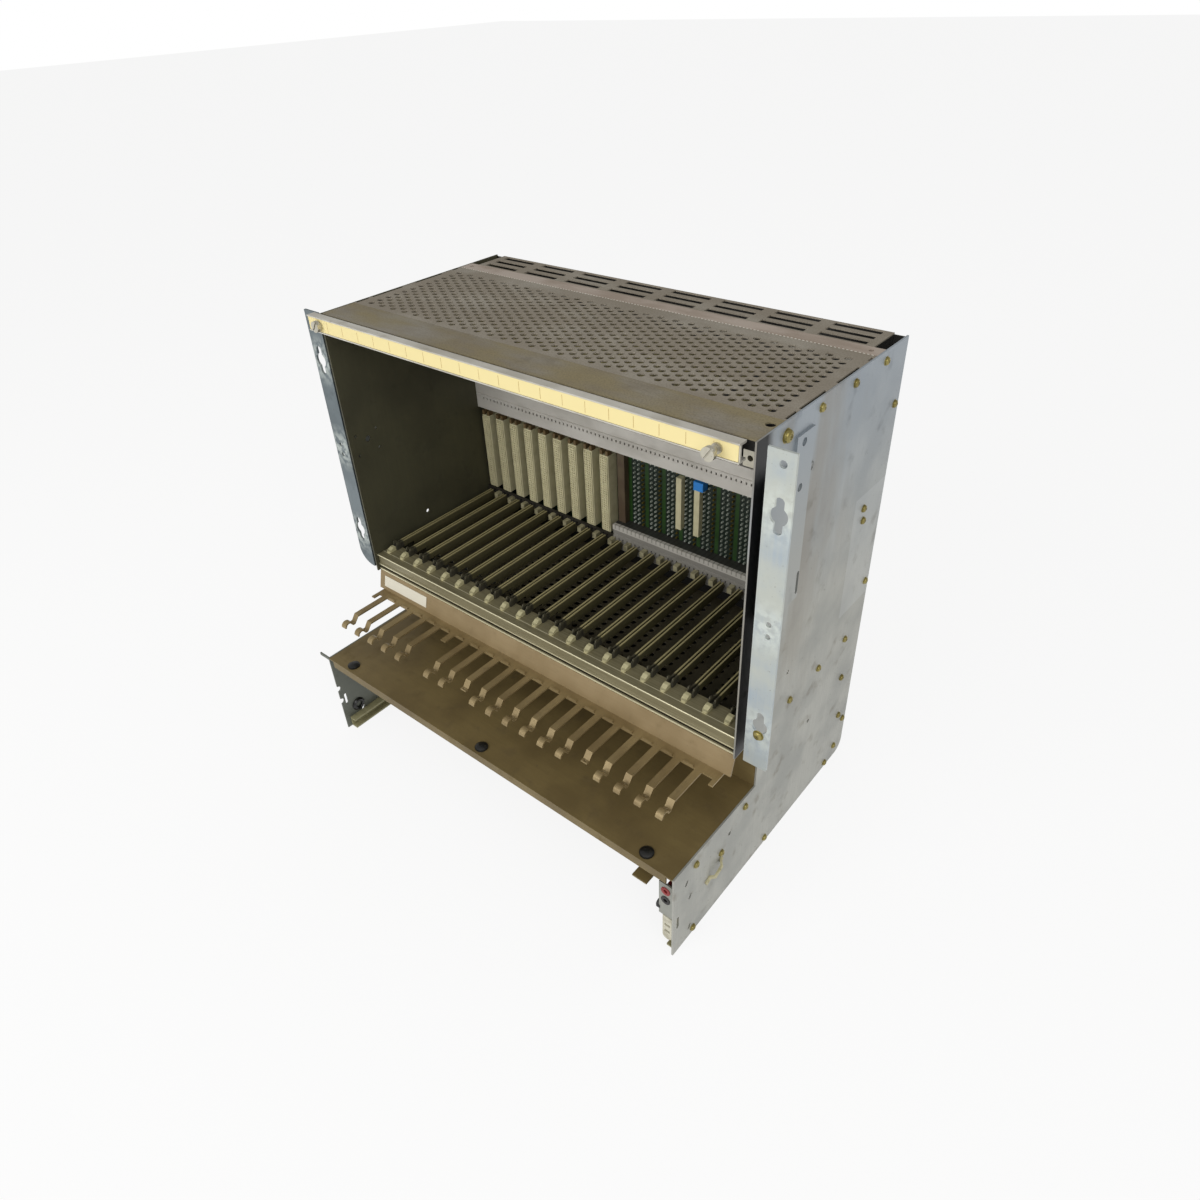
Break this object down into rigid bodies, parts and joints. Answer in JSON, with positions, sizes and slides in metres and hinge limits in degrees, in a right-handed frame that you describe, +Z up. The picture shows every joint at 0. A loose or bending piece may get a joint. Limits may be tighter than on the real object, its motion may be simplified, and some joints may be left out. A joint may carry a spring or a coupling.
{
  "type": "subrack card cage",
  "caption": "Rack-mount subrack card cage: steel side plates with rack ears, perforated top, plastic card guides, backplane, and a comb of cable fingers over a lower cable tray.",
  "frame": {"origin": "centre of the bounding box's footprint, on the plane that the side plates stand on", "axes": "+X to the right seen from the front, +Y to the back, +Z up"},
  "size_m": [0.4826, 0.2936, 0.4299],
  "materials": {
    "side_plate_sheet": "zinc plated sheet, dull with fine stains",
    "ear_sheet": "zinc plated sheet, brushed",
    "cover_sheet": "zinc plated sheet, dulled",
    "spring_strip": "bright spring steel",
    "cross_bar_aluminium": "satin",
    "bar_sheet": "zinc plated sheet",
    "yellow_label_film": "matte printed film, blank",
    "screw_steel": "yellow chromated zinc",
    "bright_screw_steel": "nickel plated",
    "front_rail_aluminium": "passivated extrusion, stained",
    "rear_rail_aluminium": "satin extrusion",
    "floor_sheet": "dulled dark sheet",
    "guide_plastic": "moulded, olive",
    "clip_plastic": "moulded, cream",
    "connector_plastic": "moulded, cream grey",
    "board_laminate": "glass fibre laminate with green resist",
    "divider_plastic": "moulded",
    "cap_plastic": "moulded, blue",
    "fascia_sheet": "passivated sheet, brown",
    "paper_label": "matte film, blank",
    "comb_sheet": "passivated spring sheet",
    "tray_sheet": "passivated sheet, brown",
    "bumper_rubber": "matte",
    "runner_plastic": "moulded",
    "red_plastic": "moulded, red",
    "black_plastic": "moulded, black",
    "terminal_plastic": "moulded, cream"
  },
  "bodies": {
    "root": {"side_plate_left": "side_plate_sheet", "side_plate_right": "side_plate_sheet", "rear_panel": "side_plate_sheet", "ear_bracket_left": "ear_sheet", "ear_bracket_right": "ear_sheet", "socket_bracket": "ear_sheet", "top_front_rail": "cover_sheet", "perforated_cover": "cover_sheet", "louvre_cover": "cover_sheet", "contact_strip": "spring_strip", "rear_cross_bar": "cross_bar_aluminium", "locking_bar": "bar_sheet", "locking_bar_label": "yellow_label_film", "side_screws": "screw_steel", "locking_screws": "bright_screw_steel", "locking_blocks": "bright_screw_steel", "front_lower_rail": "front_rail_aluminium", "middle_rear_rail": "rear_rail_aluminium", "lower_rear_rail": "rear_rail_aluminium", "floor_grille": "floor_sheet", "card_guide_01": "guide_plastic", "card_guide_02": "guide_plastic", "card_guide_03": "guide_plastic", "card_guide_04": "guide_plastic", "card_guide_05": "guide_plastic", "card_guide_06": "guide_plastic", "card_guide_07": "guide_plastic", "card_guide_08": "guide_plastic", "card_guide_09": "guide_plastic", "card_guide_10": "guide_plastic", "card_guide_11": "guide_plastic", "card_guide_12": "guide_plastic", "card_guide_13": "guide_plastic", "card_guide_14": "guide_plastic", "card_guide_15": "guide_plastic", "card_guide_16": "guide_plastic", "card_guide_17": "guide_plastic", "card_guide_18": "guide_plastic", "card_guide_19": "guide_plastic", "card_guide_20": "guide_plastic", "card_guide_21": "guide_plastic", "upper_card_guides": "guide_plastic", "guide_clips": "clip_plastic", "guide_spacers": "clip_plastic", "cable_clip": "clip_plastic", "connector_blocks": "connector_plastic", "narrow_connectors": "connector_plastic", "backplane_board": "board_laminate", "end_divider": "divider_plastic", "connector_cap": "cap_plastic", "fascia_strip": "fascia_sheet", "fascia_label": "paper_label", "cable_comb": "comb_sheet", "cable_tray": "tray_sheet", "lip_tongue": "tray_sheet", "tray_bumpers": "bumper_rubber", "bottom_runners": "runner_plastic", "red_socket": "red_plastic", "black_socket": "black_plastic", "terminal_block": "terminal_plastic"}
  },
  "joints": []
}
